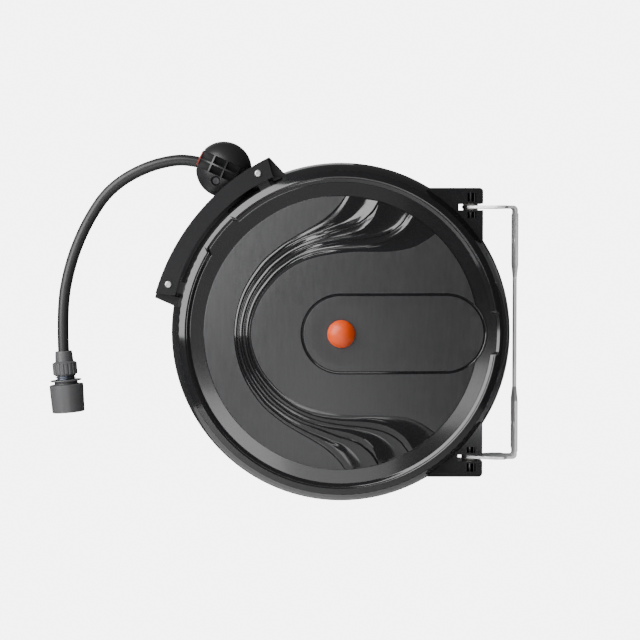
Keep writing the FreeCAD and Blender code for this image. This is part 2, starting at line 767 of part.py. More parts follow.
print("wound length", round(wound_length(), 2), "m")
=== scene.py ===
import json
import math

import bmesh
import bpy
import numpy as np
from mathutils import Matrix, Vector


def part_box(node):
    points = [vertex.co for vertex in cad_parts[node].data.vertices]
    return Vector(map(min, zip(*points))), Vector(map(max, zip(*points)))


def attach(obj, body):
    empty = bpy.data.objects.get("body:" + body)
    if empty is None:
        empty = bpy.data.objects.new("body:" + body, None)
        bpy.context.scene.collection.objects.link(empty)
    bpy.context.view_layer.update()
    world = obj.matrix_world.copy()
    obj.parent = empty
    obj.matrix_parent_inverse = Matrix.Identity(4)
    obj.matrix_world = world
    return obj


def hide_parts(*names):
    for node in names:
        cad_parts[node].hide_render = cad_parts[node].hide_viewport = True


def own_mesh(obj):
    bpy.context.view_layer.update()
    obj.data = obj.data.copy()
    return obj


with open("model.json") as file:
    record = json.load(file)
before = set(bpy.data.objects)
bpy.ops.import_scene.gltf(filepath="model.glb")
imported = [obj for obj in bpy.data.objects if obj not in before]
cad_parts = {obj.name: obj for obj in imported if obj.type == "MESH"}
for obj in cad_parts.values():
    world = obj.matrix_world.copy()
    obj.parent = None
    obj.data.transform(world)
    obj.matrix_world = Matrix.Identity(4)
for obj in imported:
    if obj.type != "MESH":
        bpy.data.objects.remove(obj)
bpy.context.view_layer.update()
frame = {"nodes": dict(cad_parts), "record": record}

MM = 0.001

# ---- places taken from the frame, in metres ----
cap_low, cap_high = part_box("centre_cap")
REEL_X = (cap_low[0] + cap_high[0]) / 2.0     # the reel's own axis runs along Y through here

# ---- the front cover's sizes, in millimetres about the reel's axis; depths count towards the front, -Y ----
POCKET_R = 10.1          # the pocket that holds the centre cap
BOSS_HEIGHT = 0.8        # the low swelling round that pocket
BOSS_FADE = (17.0, 33.0)
POCKET_LIP = 0.8
SHARES_TO_OBLONG = (0.1, 0.3, 0.5, 0.7, 0.85)    # points between the pocket's lip and the oblong's border
SHARES_PAST_OBLONG = (0.2, 0.4, 0.6, 0.8)
LEAST_STEP = 0.06        # points that crowd at the middle's border keep this distance
PANEL_R = 145.0          # where the dome would meet its foot
PANEL_EDGE_R = 143.8
RING_R = 157.8           # outer edge of the flat ring
CROWN_R = 165.0          # from here outwards the rim is shared by its notches and its plain parts
SEAM_R = 170.8
FLAT_Y = 31.0            # depth of the flat ring
PANEL_Y = 32.0           # depth of the dome at its foot
DOME_Y = 46.0            # depth of the dome on the axis
NOTCH_DEGREES = (0.0, 140.6)
NOTCH_HALF = 7.6         # half a finger notch, in degrees
NOTCH_SHIFT = 5.2        # how far a notch moves the rim's inner wall outwards
# The rim outside the flat ring: a bright inner wall, a fine crease and a crown that slopes outwards.
RIM_INNER = [(RING_R, FLAT_Y), (158.4, 31.0), (158.8, 30.8), (159.4, 31.2), (160.4, 32.1), (161.6, 33.0),
             (162.2, 33.2), (162.6, 33.1)]
RIM_CROWN = [(163.1, 33.6), (163.7, 33.9), (164.3, 33.95), (165.1, 33.6), (166.5, 32.8), (168.0, 31.92),
             (169.5, 31.02), (SEAM_R, 30.2)]
# The CAD cover's plain front face, which the new front takes the place of, lies beyond this depth.
OLD_FACE_Y = 29.5
SEAM_REACH = 0.6         # how far from a seam's radius its open edges lie

# ---- the outlet guide's trims, in millimetres about the reel's axis ----
GUIDE_SIDE_R = 178.6
GUIDE_SIDE_DEGREES = (95, 186)
UPPER_END = [(-76.6, 182.5), (-71.5, 164.5), (-40.0, 160.0), (-50.0, 190.0), (-72.0, 192.0)]
LOWER_END = [(-198.0, 42.6), (-170.0, 39.2), (-168.0, 15.0), (-200.0, 15.0)]
TRIM_FRONT = -40.0       # y, like the next two
TRIM_SIDE_BACK = -26.0
TRIM_END_BACK = -22.0

# Free hose from the guide's mouth to the connector: x, z in millimetres about the reel's axis.
HOSE_ROUTE = [
    (-104.3, 163.9),
    (-151.0, 185.2),
    (-198.8, 180.0),
    (-244.0, 155.6),
    (-269.8, 118.3),
    (-288.3, 74.3),
    (-297.8, 24.0),
    (-295.8, -23.4),
]
HOSE_DIAMETER = 0.012    # metres

# Nodes seen with rounded edges: body and width of the rounding, in metres.
SOFT_NODES = {
    "wall_bracket": ("bracket", 0.0003),
    "centre_cap": ("case", 0.0006),
    "guide_bolts": ("case", 0.0003),
    "clamp_nut": ("case", 0.0004),
    "connector_body": ("case", 0.0003),
    "release_sleeve": ("release_sleeve", 0.0007),
}


# ---- small helpers ----
def deselect():
    for thing in bpy.context.selected_objects:
        thing.select_set(False)


def only(thing):
    deselect()
    thing.select_set(True)
    bpy.context.view_layer.objects.active = thing


def apply_modifiers(thing):
    only(thing)
    for modifier in list(thing.modifiers):
        bpy.ops.object.modifier_apply(modifier=modifier.name)


def smooth(thing, degrees=30.0):
    only(thing)
    bpy.ops.object.shade_smooth_by_angle(angle=math.radians(degrees))


def mesh_object(name, mesh):
    thing = bpy.data.objects.new(name, mesh)
    bpy.context.scene.collection.objects.link(thing)
    return thing


def stand_in(piece, body, slot, material, *nodes):
    """Hands a finished piece to the frame: its body, its finish and the nodes it stands for; the slot is not
    used.
    """
    if material:
        piece.data.materials.clear()
        piece.data.materials.append(material)
    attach(piece, body)
    if nodes:
        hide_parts(*nodes)
    return piece


def node_copy(node, name):
    """A copy of a CAD node's mesh with its loose triangles merged."""
    mesh = frame["nodes"][node].data.copy()
    mesh.name = name
    work = bmesh.new()
    work.from_mesh(mesh)
    bmesh.ops.remove_doubles(work, verts=work.verts, dist=2e-6)
    work.to_mesh(mesh)
    work.free()
    mesh.materials.clear()
    if mesh.attributes.get("custom_normal"):
        mesh.attributes.remove(mesh.attributes["custom_normal"])
    return mesh_object(name, mesh)


def soften(piece, width, angle=35.0, segments=2, flat_limit=0.6):
    """Rounds a piece's sharp edges, once nearly flat faces are joined, and keeps its flats evenly shaded."""
    only(piece)
    bpy.ops.object.mode_set(mode="EDIT")
    bpy.ops.mesh.select_all(action="SELECT")
    bpy.ops.mesh.dissolve_limited(angle_limit=math.radians(flat_limit))
    bpy.ops.object.mode_set(mode="OBJECT")
    bevel = piece.modifiers.new("soft edge", "BEVEL")
    bevel.width = width
    bevel.segments = segments
    bevel.limit_method = "ANGLE"
    bevel.angle_limit = math.radians(angle)
    bevel.use_clamp_overlap = True
    apply_modifiers(piece)
    smooth(piece, degrees=32)
    even = piece.modifiers.new("even shading", "WEIGHTED_NORMAL")
    even.keep_sharp = True
    apply_modifiers(piece)
    return piece


# ---- node groups shared by the finishes ----
def new_group(name, inputs, outputs):
    group = bpy.data.node_groups.new(name, "ShaderNodeTree")
    for label, kind, value in inputs:
        socket = group.interface.new_socket(name=label, in_out="INPUT", socket_type=kind)
        socket.default_value = value
    for label, kind in outputs:
        group.interface.new_socket(name=label, in_out="OUTPUT", socket_type=kind)
    enter = group.nodes.new("NodeGroupInput")
    leave = group.nodes.new("NodeGroupOutput")
    return group, enter, leave


def math_node(tree, operation, a, b=None):
    node = tree.nodes.new("ShaderNodeMath")
    node.operation = operation
    for index, value in enumerate((a, b)):
        if value is None:
            continue
        if isinstance(value, (int, float)):
            node.inputs[index].default_value = value
        else:
            tree.links.new(value, node.inputs[index])
    return node.outputs[0]


def grain_group():
    """Moulded skin: a fine grain over a slow unevenness."""
    group, enter, leave = new_group(
        "moulded grain",
        [("Vector", "NodeSocketVector", (0, 0, 0)), ("Fine", "NodeSocketFloat", 1500.0),
         ("Slow", "NodeSocketFloat", 12.0)],
        [("Height", "NodeSocketFloat"), ("Tone", "NodeSocketFloat")])
    fine = group.nodes.new("ShaderNodeTexNoise")
    fine.inputs["Detail"].default_value = 3.0
    slow = group.nodes.new("ShaderNodeTexNoise")
    slow.inputs["Detail"].default_value = 2.0
    for noise, label in ((fine, "Fine"), (slow, "Slow")):
        group.links.new(enter.outputs["Vector"], noise.inputs["Vector"])
        group.links.new(enter.outputs[label], noise.inputs["Scale"])
    group.links.new(fine.outputs["Fac"], leave.inputs["Height"])
    mix = math_node(group, "MULTIPLY", fine.outputs["Fac"], 0.35)
    both = math_node(group, "MULTIPLY_ADD", slow.outputs["Fac"], 0.65)
    group.links.new(mix, both.node.inputs[2])
    group.links.new(both, leave.inputs["Tone"])
    return group


def stretched_group():
    """Lines along one direction: brushing, drawing marks or a fine vertical grain."""
    group, enter, leave = new_group(
        "drawn lines",
        [("Vector", "NodeSocketVector", (0, 0, 0)), ("Stretch", "NodeSocketVector", (1, 1, 1)),
         ("Scale", "NodeSocketFloat", 800.0)],
        [("Height", "NodeSocketFloat"), ("Tone", "NodeSocketFloat")])
    scaled = group.nodes.new("ShaderNodeVectorMath")
    scaled.operation = "MULTIPLY"
    group.links.new(enter.outputs["Vector"], scaled.inputs[0])
    group.links.new(enter.outputs["Stretch"], scaled.inputs[1])
    noise = group.nodes.new("ShaderNodeTexNoise")
    noise.inputs["Detail"].default_value = 2.0
    group.links.new(scaled.outputs[0], noise.inputs["Vector"])
    group.links.new(enter.outputs["Scale"], noise.inputs["Scale"])
    wide = group.nodes.new("ShaderNodeTexNoise")
    wide.inputs["Detail"].default_value = 1.0
    group.links.new(scaled.outputs[0], wide.inputs["Vector"])
    quarter = math_node(group, "MULTIPLY", enter.outputs["Scale"], 0.23)
    group.links.new(quarter, wide.inputs["Scale"])
    group.links.new(noise.outputs["Fac"], leave.inputs["Height"])
    total = math_node(group, "ADD", noise.outputs["Fac"], wide.outputs["Fac"])
    half = math_node(group, "MULTIPLY", total, 0.5)
    group.links.new(half, leave.inputs["Tone"])
    return group


GRAIN = grain_group()
DRAWN = stretched_group()


def shade(colour, factor):
    return (min(1.0, colour[0] * factor), min(1.0, colour[1] * factor), min(1.0, colour[2] * factor), 1.0)


def start_material(name, metallic=0.0, coat=0.0, coat_rough=0.1, sheen=0.0, specular=0.5):
    material = bpy.data.materials.new(name)
    material.use_nodes = True
    tree = material.node_tree
    shader = tree.nodes["Principled BSDF"]
    shader.inputs["Metallic"].default_value = metallic
    shader.inputs["Coat Weight"].default_value = coat
    shader.inputs["Coat Roughness"].default_value = coat_rough
    shader.inputs["Sheen Weight"].default_value = sheen
    shader.inputs["Specular IOR Level"].default_value = specular
    place = tree.nodes.new("ShaderNodeTexCoord").outputs["Object"]
    return material, tree, shader, place


def tone_to(tree, tone, shader, colour, spread, rough, rough_spread):
    """Lets a 0-1 tone vary the base colour and the roughness about their middle values."""
    ramp = tree.nodes.new("ShaderNodeValToRGB")
    ramp.color_ramp.elements[0].position = 0.3
    ramp.color_ramp.elements[0].color = shade(colour, 1.0 - spread)
    ramp.color_ramp.elements[1].position = 0.7
    ramp.color_ramp.elements[1].color = shade(colour, 1.0 + spread)
    tree.links.new(tone, ramp.inputs[0])
    tree.links.new(ramp.outputs[0], shader.inputs["Base Color"])
    spread_node = tree.nodes.new("ShaderNodeMapRange")
    spread_node.inputs["From Min"].default_value = 0.3
    spread_node.inputs["From Max"].default_value = 0.7
    spread_node.inputs["To Min"].default_value = rough - rough_spread
    spread_node.inputs["To Max"].default_value = rough + rough_spread
    tree.links.new(tone, spread_node.inputs["Value"])
    tree.links.new(spread_node.outputs[0], shader.inputs["Roughness"])


def bump_to(tree, height, shader, strength, distance):
    bump = tree.nodes.new("ShaderNodeBump")
    bump.inputs["Strength"].default_value = strength
    bump.inputs["Distance"].default_value = distance
    tree.links.new(height, bump.inputs["Height"])
    tree.links.new(bump.outputs[0], shader.inputs["Normal"])


def moulded(name, colour, rough, spread=0.12, rough_spread=0.05, fine=1500.0, slow=14.0,
            bump=0.25, depth=0.00008, **more):
    """Moulded plastic or rubber."""
    material, tree, shader, place = start_material(name, **more)
    grain = tree.nodes.new("ShaderNodeGroup")
    grain.node_tree = GRAIN
    grain.inputs["Fine"].default_value = fine
    grain.inputs["Slow"].default_value = slow
    tree.links.new(place, grain.inputs["Vector"])
    tone_to(tree, grain.outputs["Tone"], shader, colour, spread, rough, rough_spread)
    bump_to(tree, grain.outputs["Height"], shader, bump, depth)
    return material


def drawn_metal(name, colour, rough, stretch, scale, spread=0.12, rough_spread=0.07,
                bump=0.2, depth=0.00003, **more):
    """Brushed, drawn or turned metal, or a plastic with a grain that runs one way."""
    material, tree, shader, place = start_material(name, **more)
    lines = tree.nodes.new("ShaderNodeGroup")
    lines.node_tree = DRAWN
    lines.inputs["Stretch"].default_value = stretch
    lines.inputs["Scale"].default_value = scale
    tree.links.new(place, lines.inputs["Vector"])
    tone_to(tree, lines.outputs["Tone"], shader, colour, spread, rough, rough_spread)
    bump_to(tree, lines.outputs["Height"], shader, bump, depth)
    return material


GLOSS_BLACK = moulded("case gloss black", (0.012, 0.012, 0.013), 0.11, fine=260.0, bump=0.05, depth=0.00003,
                      rough_spread=0.02, coat=0.3, coat_rough=0.05)
PANEL_GREY = drawn_metal("panel fine vertical grain", (0.036, 0.036, 0.0375), 0.42, (1.0, 1.0, 0.12), 1500.0,
                         spread=0.14, rough_spread=0.06, bump=0.5, depth=0.0001)
GUIDE_BLACK = moulded("guide satin black", (0.011, 0.011, 0.012), 0.36, fine=900.0, bump=0.15, specular=0.35)
BALL_BLACK = moulded("stopper satin black", (0.018, 0.018, 0.019), 0.38, fine=700.0, bump=0.2)
CAP_ORANGE = moulded("cap orange", (0.78, 0.075, 0.004), 0.42, spread=0.06, fine=900.0, bump=0.12)
STRAP_ZINC = drawn_metal("strap bright zinc", (0.85, 0.85, 0.86), 0.36, (0.05, 1.0, 0.05), 900.0,
                         spread=0.05, rough_spread=0.05, bump=0.12, metallic=0.8)
SCREW_ZINC = drawn_metal("screw zinc", (0.86, 0.86, 0.85), 0.34, (1.0, 0.2, 1.0), 900.0, metallic=0.75)
DARK_STEEL = drawn_metal("oiled steel", (0.18, 0.18, 0.19), 0.35, (1.0, 1.0, 0.1), 700.0, metallic=1.0)
SPRING_STEEL = drawn_metal("blued spring steel", (0.16, 0.19, 0.27), 0.28, (1.0, 0.1, 1.0), 900.0,
                           metallic=1.0)
TURNED_BRASS = drawn_metal("turned brass", (0.72, 0.50, 0.20), 0.27, (1.0, 8.0, 1.0), 200.0, metallic=1.0)
DRUM_GREY = moulded("drum grey", (0.10, 0.10, 0.105), 0.5, fine=1000.0)
BUSH_WHITE = moulded("bush ivory", (0.68, 0.66, 0.60), 0.42, spread=0.05, fine=1200.0)
ROLLER_GREY = moulded("roller grey", (0.22, 0.22, 0.22), 0.4, fine=1200.0)
SEAL_BLACK = moulded("seal rubber", (0.012, 0.012, 0.012), 0.6, fine=2000.0)
COLLAR_RED = moulded("collar red", (0.30, 0.035, 0.02), 0.45, fine=1500.0)
CONNECTOR_GREY = moulded("connector grey", (0.085, 0.085, 0.088), 0.42, fine=1100.0, bump=0.3)
WOUND_GREY = moulded("wound hose grey", (0.040, 0.040, 0.042), 0.45, fine=800.0)
HOSE_GREY = moulded("hose dark grey", (0.022, 0.022, 0.023), 0.38, fine=900.0, slow=30.0, bump=0.2,
                    depth=0.00006)
FLOOR_WHITE = moulded("floor white", (0.9, 0.9, 0.9), 0.7, spread=0.01, fine=40.0)

FINISH = {
    "case_black": GLOSS_BLACK,
    "guide_black": GUIDE_BLACK,
    "ball_black": BALL_BLACK,
    "seal_black": SEAL_BLACK,
    "cap_orange": CAP_ORANGE,
    "collar_red": COLLAR_RED,
    "strap_zinc": STRAP_ZINC,
    "screw_zinc": SCREW_ZINC,
    "dark_steel": DARK_STEEL,
    "spring_steel": SPRING_STEEL,
    "brass_parts": TURNED_BRASS,
    "bush_white": BUSH_WHITE,
    "drum_grey": DRUM_GREY,
    "hose_grey": WOUND_GREY,
    "connector_grey": CONNECTOR_GREY,
    "roller_grey": ROLLER_GREY,
}


def finish_cad_nodes():
    """Every carried-over node takes the finish of its slot."""
    for row in frame["record"]["subparts"]:
        node = frame["nodes"][row["node"]]
        node.data.materials.clear()
        node.data.materials.append(FINISH[row["material_slot"]])


# ---- camera and light: places and sizes in metres ----
EYE_Y = -2.0
EYE_HEIGHT = 0.0947
AIM_HEIGHT = 0.0127
AIM_SIDE = -0.0221       # the picture's middle lies this far to the left of the reel's axis
BOARD_Y = -2.06
BACKDROP_STRENGTH = 6.0  # what the camera sees of the world
FILL_STRENGTH = 0.08     # what the object gets from it
FLOOR_SIZE = 1.9
FLOOR_HEIGHT = -0.55


def view_camera():
    data = bpy.data.cameras.new("view")
    data.lens = 105.5
    data.sensor_width = 36.0
    data.clip_start = 0.05
    data.clip_end = 50.0
    camera = bpy.data.objects.new("view", data)
    bpy.context.scene.collection.objects.link(camera)
    aim = Vector((REEL_X + AIM_SIDE, 0.0, AIM_HEIGHT))
    camera.location = Vector((REEL_X + AIM_SIDE, EYE_Y, EYE_HEIGHT))
    camera.rotation_euler = (aim - camera.location).to_track_quat("-Z", "Y").to_euler()
    bpy.context.scene.camera = camera


def studio_world():
    """A world that is bright to the camera and dim to the object."""
    world = bpy.data.worlds.new("studio")
    world.use_nodes = True
    tree = world.node_tree
    seen = tree.nodes["Background"]
    dim = tree.nodes.new("ShaderNodeBackground")
    for background, strength in ((seen, BACKDROP_STRENGTH), (dim, FILL_STRENGTH)):
        background.inputs["Color"].default_value = (1.0, 1.0, 1.0, 1.0)
        background.inputs["Strength"].default_value = strength
    mix = tree.nodes.new("ShaderNodeMixShader")
    tree.links.new(tree.nodes.new("ShaderNodeLightPath").outputs["Is Camera Ray"], mix.inputs[0])
    tree.links.new(dim.outputs[0], mix.inputs[1])
    tree.links.new(seen.outputs[0], mix.inputs[2])
    tree.links.new(mix.outputs[0], tree.nodes["World Output"].inputs["Surface"])
    bpy.context.scene.world = world


def studio_lights():
    middle = (REEL_X, 0.0, 0.0)
    area("upper left box", (REEL_X - 1.12, -0.87, 0.72), middle, 1.15, 1.9, 50.0)
    area("front top box", (REEL_X - 0.42, -1.8, 1.42), middle, 0.6, 0.5, 8.5)
    area("back box", (REEL_X - 0.5, 1.9, 0.8), middle, 1.2, 1.2, 3.0)
    # Boards round the camera, for the flat ring and the ridges to mirror.
    board("front board", (-0.90, -0.22), (0.16, 0.70), 0.42)
    board("lower left board", (-0.42, -0.65), (-0.10, -0.22), 5.2)
    board("lower board", (-0.10, -0.65), (0.14, -0.32), 2.2)
    board("lower right board", (0.22, -0.30), (0.45, -0.16), 4.6)
    board("low board", (-0.60, -1.30), (0.40, -0.70), 3.4)


def studio_floor():
    bpy.ops.mesh.primitive_plane_add(size=FLOOR_SIZE, location=(REEL_X, 0.0, FLOOR_HEIGHT))
    floor = bpy.context.object
    floor.name = "studio_floor"
    floor.data.materials.append(FLOOR_WHITE)


def area(name, place, target, width, height, power):
    """A rectangle of light that faces the target; lengths in metres, power in watts."""
    data = bpy.data.lights.new(name, "AREA")
    data.shape = "RECTANGLE"
    data.size = width
    data.size_y = height
    data.energy = power
    light = bpy.data.objects.new(name, data)
    bpy.context.scene.collection.objects.link(light)
    light.location = place
    light.rotation_euler = (Vector(target) - Vector(place)).to_track_quat("-Z", "Y").to_euler()
    return light


def board(name, low, high, radiance):
    """A light beside the camera that faces the reel: its corners in metres about the reel's axis."""
    width, height = high[0] - low[0], high[1] - low[1]
    place = (REEL_X + (low[0] + high[0]) / 2.0, BOARD_Y, (low[1] + high[1]) / 2.0)
    return area(name, place, (place[0], 0.0, place[2]), width, height, radiance * math.pi * width * height)


# ---- free hose ----
def on_reel(x, y, z):
    """Millimetres about the reel's axis to metres in the frame."""
    return Vector((REEL_X + x * MM, y * MM, z * MM))


def free_hose():
    """A smooth curve led by the route's points, as thick as the hose."""
    curve = bpy.data.curves.new("free_hose", "CURVE")
    curve.dimensions = "3D"
    spline = curve.splines.new("NURBS")
    spline.points.add(len(HOSE_ROUTE) - 1)
    for point, (x, z) in zip(spline.points, HOSE_ROUTE):
        point.co = (*on_reel(x, 0, z), 1.0)
    spline.order_u = 3
    spline.use_endpoint_u = True
    spline.resolution_u = 16
    curve.bevel_depth = HOSE_DIAMETER / 2.0
    curve.bevel_resolution = 8
    curve.use_fill_caps = True
    hose = bpy.data.objects.new("free_hose_line", curve)
    bpy.context.scene.collection.objects.link(hose)
    curve.materials.append(HOSE_GREY)
    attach(hose, "case")
    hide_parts("free_hose")
    return hose


# ---- front cover ----
# The flowing ridges, in millimetres about the reel's axis, for the upper half; the lower half mirrors it.
# Each line starts at the left-hand middle, given as (degrees from there, radius), and opens out over the
# listed (x, z) places to the panel's edge. A lip and a crest bound each ridge's bright wall.
RIDGE_LINES = {
    "lip 1": ([(0, 112.4), (20, 112.2), (40, 112.2), (55, 112.0), (65, 113.0), (72, 115.0), (80, 120.2)],
              [(-16.1, 121.9), (-8.4, 128.5), (-1.4, 136.1), (3.9, 143.75)]),
    "crest 1": ([(0, 110.2), (20, 109.7), (40, 108.9), (55, 108.6), (65, 109.0), (72, 110.2), (80, 113.2)],
                [(-8.4, 118.9), (-0.7, 127.2), (5.3, 136.9), (8.8, 143.53)]),
    "lip 2": ([(0, 106.8), (20, 105.8), (40, 104.2), (55, 103.2), (65, 103.0), (72, 103.2), (80, 104.8)],
              [(-3.3, 108.8), (9.5, 112.6), (20.5, 118.0), (31.6, 127.9), (38.5, 138.55)]),
    "crest 2": ([(0, 104.6), (20, 103.0), (40, 101.0), (55, 100.2), (65, 99.9), (72, 99.8), (80, 100.3)],
                [(-3.3, 101.8), (9.5, 104.8), (24.0, 110.8), (33.0, 120.5), (37.9, 131.8), (39.9, 138.15)]),
    "lip 3": ([(0, 100.4), (20, 99.2), (40, 96.8), (55, 95.2), (65, 94.8), (72, 94.8), (80, 95.0)],
              [(0.0, 96.6), (16.0, 98.3), (32.6, 100.8), (48.1, 105.4), (60.9, 113.7), (70.4, 125.38)]),
    "crest 3": ([(0, 98.4), (20, 96.6), (40, 93.5), (55, 91.9), (65, 91.2), (72, 90.9), (80, 90.7)],
                [(0.0, 91.4), (16.0, 92.2), (32.6, 93.5), (48.1, 97.4), (60.9, 104.1), (69.3, 111.8),
                 (75.5, 122.38)]),
    "inner": ([(0, 94.4), (20, 91.8), (40, 88.3), (55, 86.3), (65, 84.9), (72, 84.1), (80, 83.6)],
              [(0.0, 84.3), (16.0, 85.6), (35.3, 85.5), (54.6, 86.2), (73.7, 89.9), (87.0, 96.2),
               (98.9, 104.4)]),
}
# Rows across one ridge, as (share of the way, height over the dome): first its wall, from lip to crest, then
# the floor to the next lip. Where the ridges open out, the OPEN lists hold.
WALL_ROWS = [(0.0, 0.05), (0.14, -0.5), (0.32, -0.8), (0.5, -0.7), (0.75, -0.45), (1.0, -0.3)]
WALL_OPEN = [
    [(0.0, 0.15), (0.1, -0.4), (0.22, -0.6), (0.45, -0.45), (0.75, -0.2), (1.0, 0.0)],
    [(0.0, 1.2), (0.1, -0.3), (0.25, -0.8), (0.45, -0.3), (0.75, 0.4), (1.0, 0.9)],
    [(0.0, 0.5), (0.1, -0.4), (0.2, -0.8), (0.45, -0.2), (0.75, 0.5), (1.0, 0.8)],
]
FLOOR_ROWS = [(0.0, -0.3), (0.1, -0.9), (0.2, -1.2), (0.34, -0.75), (0.5, 0.05), (0.62, 0.05), (0.8, -0.05),
              (1.0, 0.05)]
FLOOR_OPEN = [
    [(0.0, 0.0), (0.15, -0.25), (0.32, -0.75), (0.48, -1.1), (0.58, -1.05), (0.75, -0.3), (0.9, 0.7),
     (1.0, 1.2)],
    [(0.0, 0.9), (0.2, 0.3), (0.4, -0.5), (0.58, -0.9), (0.74, -0.8), (0.87, -0.3), (0.95, 0.2),
     (1.0, 0.5)],
    [(0.0, 0.8), (0.2, 0.1), (0.4, -0.25), (0.55, -0.35), (0.7, -0.35), (0.82, -0.25), (0.92, -0.1),
     (1.0, 0.0)],
]
ALONG = 240              # steps from the left-hand middle to the panel's edge
CLOSE_SHARE = 0.6        # share of those steps where the ridges run close together
OPENING = (0.40, 0.78)   # share of the way over which their heights change
LEAST_RISE = 0.12        # the ridges stay this far above the flat ring
CRESCENT_SHARES = (0.0, 0.25, 0.5, 0.75, 1.0)    # rows from the panel's edge to the outer lip
RIGHT_STEPS = 220        # steps of the panel's edge between the lower and the upper ridges

# The oblong panel round the cap: half height, where its right-hand arc is centred, and the border's rows as
# (offset from the outline, height over the dome).
OBLONG_R = 40.8
OBLONG_RIGHT = 110.5
OBLONG_BULGE = 1.6       # how far its right-hand end pushes the panel's edge outwards
OBLONG_ROWS = [(-2.4, 0.5), (-2.0, 0.5), (-1.5, 0.35), (-0.9, -0.5), (-0.4, -1.0), (0.3, -1.1), (0.9, -0.75),
               (1.5, -0.1), (1.9, 0.0), (2.3, 0.0)]
OBLONG_GLOSSY = range(2, 7)    # the rows that start a glossy strip of the border's groove


def smooth_line(points, at):
    """Cubic curve through a few points, with tangents from their neighbours."""
    x = np.array([p[0] for p in points], float)
    y = np.array([p[1] for p in points], float)
    slope = np.empty_like(y)
    slope[1:-1] = (y[2:] - y[:-2]) / (x[2:] - x[:-2])
    slope[0] = (y[1] - y[0]) / (x[1] - x[0])
    slope[-1] = (y[-1] - y[-2]) / (x[-1] - x[-2])
    at = np.clip(at, x[0], x[-1])
    k = np.clip(np.searchsorted(x, at) - 1, 0, len(x) - 2)
    span = x[k + 1] - x[k]
    t = (at - x[k]) / span
    return ((1 + 2 * t) * (1 - t) ** 2 * y[k] + t * (1 - t) ** 2 * span * slope[k]
            + t * t * (3 - 2 * t) * y[k + 1] + t * t * (t - 1) * span * slope[k + 1])


def ridge_line(name):
    """Places along one line of the ridges, one for each step; two mirrored places lead in smoothly."""
    close, opening = RIDGE_LINES[name]
    turned = [(-r * math.cos(math.radians(a)), r * math.sin(math.radians(a))) for a, r in close]
    mirror = [(x, -z) for x, z in reversed(turned[1:3])]
    places = mirror + turned + opening
    run = np.concatenate([[0.0], np.cumsum([math.dist(a, b) for a, b in zip(places, places[1:])])])
    start, turn, last = run[2], run[len(close) + 1], run[-1]
    s = np.linspace(0.0, 1.0, ALONG + 1)
    at = np.where(s < CLOSE_SHARE, start + (turn - start) * s / CLOSE_SHARE,
                  turn + (last - turn) * (s - CLOSE_SHARE) / (1 - CLOSE_SHARE))
    x = smooth_line(list(zip(run, [p[0] for p in places])), at)
    z = smooth_line(list(zip(run, [p[1] for p in places])), at)
    return np.stack([x, z], axis=1)


def ease(value, low, high):
    t = np.clip((value - low) / (high - low), 0.0, 1.0)
    return t * t * (3 - 2 * t)


def dome(radius):
    """Depth of the panel's dome at a radius."""
    return np.maximum(DOME_Y - (DOME_Y - PANEL_Y) * (radius / PANEL_R) ** 2, PANEL_Y - 0.1)


def oblong_reach(angle, offset):
    """Radius at which a ray from the axis crosses the oblong's outline, moved outwards by an offset."""
    half = OBLONG_R + offset
    c, s = math.cos(angle), abs(math.sin(angle))
    if c <= 0:
        return half
    if half / max(s, 1e-9) * c <= OBLONG_RIGHT:
        return half / s
    return OBLONG_RIGHT * c + math.sqrt(half ** 2 - (OBLONG_RIGHT * s) ** 2)


def panel_edge(angle):
    """Radius of the panel's edge; the oblong's right-hand end bulges past the circle."""
    if math.cos(angle) > 0.9:
        return max(PANEL_EDGE_R, oblong_reach(angle, OBLONG_BULGE))
    return PANEL_EDGE_R


def wave_patch(side):
    """Rows of points over the upper (side 1) or lower (side -1) ridges, from the outer lip inwards."""
    lines = {name: ridge_line(name) for name in RIDGE_LINES}
    opened = ease(np.linspace(0.0, 1.0, ALONG + 1), *OPENING)
    rows = []
    for n in range(3):
        lip, crest = lines["lip %d" % (n + 1)], lines["crest %d" % (n + 1)]
        following = lines["inner"] if n == 2 else lines["lip %d" % (n + 2)]
        spans = ((lip, crest, WALL_ROWS, WALL_OPEN[n]), (crest, following, FLOOR_ROWS, FLOOR_OPEN[n]))
        for a, b, close, wide in spans:
            shares = np.linspace(0, len(close) - 1, 2 * len(close) - 1)
            index = range(len(close))
            share_close = smooth_line([(i, close[i][0]) for i in index], shares)
            share_wide = smooth_line([(i, wide[i][0]) for i in index], shares)
            height_close = smooth_line([(i, close[i][1]) for i in index], shares)
            height_wide = smooth_line([(i, wide[i][1]) for i in index], shares)
            for k in range(0 if not rows else 1, len(shares)):
                share = share_close[k] + (share_wide[k] - share_close[k]) * opened
                height = height_close[k] + (height_wide[k] - height_close[k]) * opened
                place = a + (b - a) * share[:, None]
                radius = np.hypot(place[:, 0], place[:, 1])
                depth = np.maximum(dome(radius) + height, FLAT_Y + LEAST_RISE)
                rows.append(np.stack([place[:, 0], -depth, side * place[:, 1]], axis=1))
    return rows


def notch(angle):
    """0 away from the finger notches in the rim, 1 inside them, with rounded ends."""
    best = 0.0
    for middle in NOTCH_DEGREES:
        away = abs((math.degrees(angle) - middle + 180.0) % 360.0 - 180.0)
        best = max(best, 1.0 - float(ease(away, NOTCH_HALF - 0.9, NOTCH_HALF + 0.7)))
    return best


def crown_depth(radius):
    return float(np.interp(radius, [r for r, _ in RIM_CROWN], [depth for _, depth in RIM_CROWN]))


